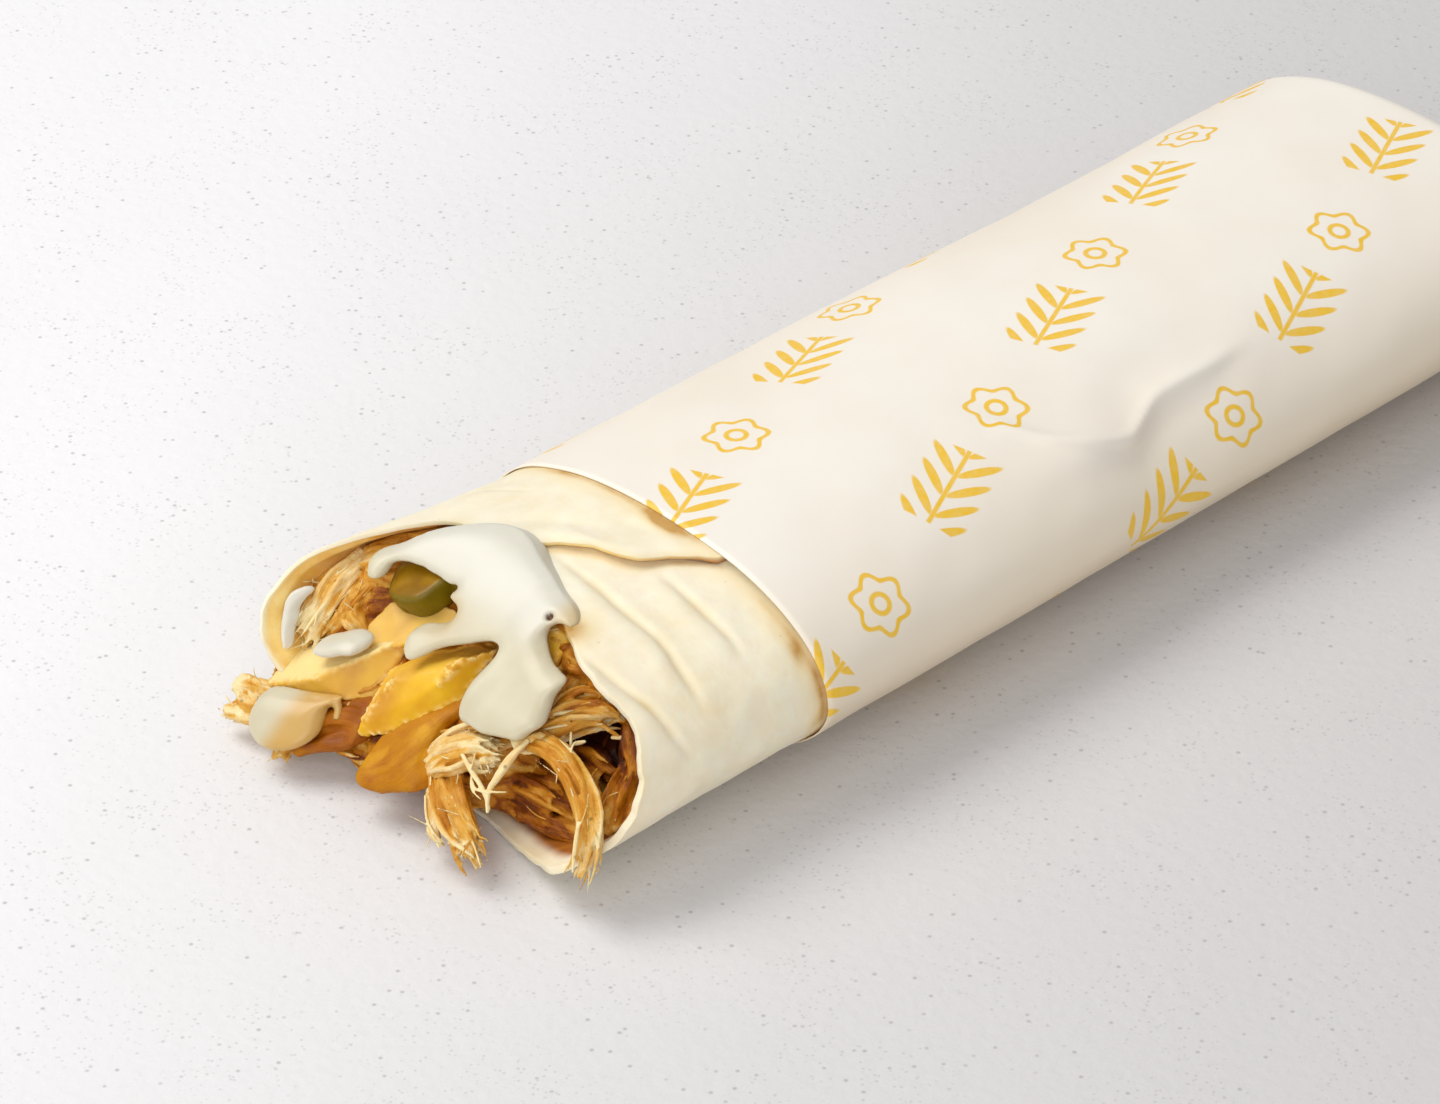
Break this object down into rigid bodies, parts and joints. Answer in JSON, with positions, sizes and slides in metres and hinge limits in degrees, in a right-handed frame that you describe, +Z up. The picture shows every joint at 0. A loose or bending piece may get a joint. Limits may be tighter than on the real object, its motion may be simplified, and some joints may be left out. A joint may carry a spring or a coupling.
{
  "type": "chicken shawarma wrap",
  "caption": "Rolled flatbread filled with shredded chicken, chips, pickle and garlic sauce, its closed end in a paper sleeve, lying on its side with the mouth open.",
  "frame": {"origin": "middle of the object's outline seen from above, on the surface it lies on", "axes": "+X along the roll from its open mouth towards the sleeve's folded end, +Z up"},
  "size_m": [0.2254, 0.0744, 0.0361],
  "materials": {
    "greaseproof_paper": "smooth, matt, printed in one yellow",
    "flatbread": "floury, matt, toasted along its folds",
    "roast_chicken": "moist, fibrous",
    "fried_potato": "crisp, lightly oiled",
    "pickle": "wet",
    "garlic_sauce": "creamy, glossy"
  },
  "bodies": {
    "root": {"paper_sleeve": "greaseproof_paper", "flatbread": "flatbread", "chip_1": "fried_potato", "chip_2": "fried_potato", "chip_3": "fried_potato", "chip_4": "fried_potato", "chip_5": "fried_potato", "pickle_1": "pickle", "pickle_2": "pickle", "chicken_piece_1": "roast_chicken", "chicken_piece_2": "roast_chicken", "chicken_strip_1": "roast_chicken", "chicken_strip_2": "roast_chicken", "chicken_strip_3": "roast_chicken", "chicken_strip_4": "roast_chicken", "chicken_strip_5": "roast_chicken", "chicken_strip_6": "roast_chicken", "chicken_shreds": "roast_chicken", "garlic_sauce": "garlic_sauce", "sauce_dollop": "garlic_sauce", "sauce_drip": "garlic_sauce", "sauce_smear": "garlic_sauce"}
  },
  "joints": []
}
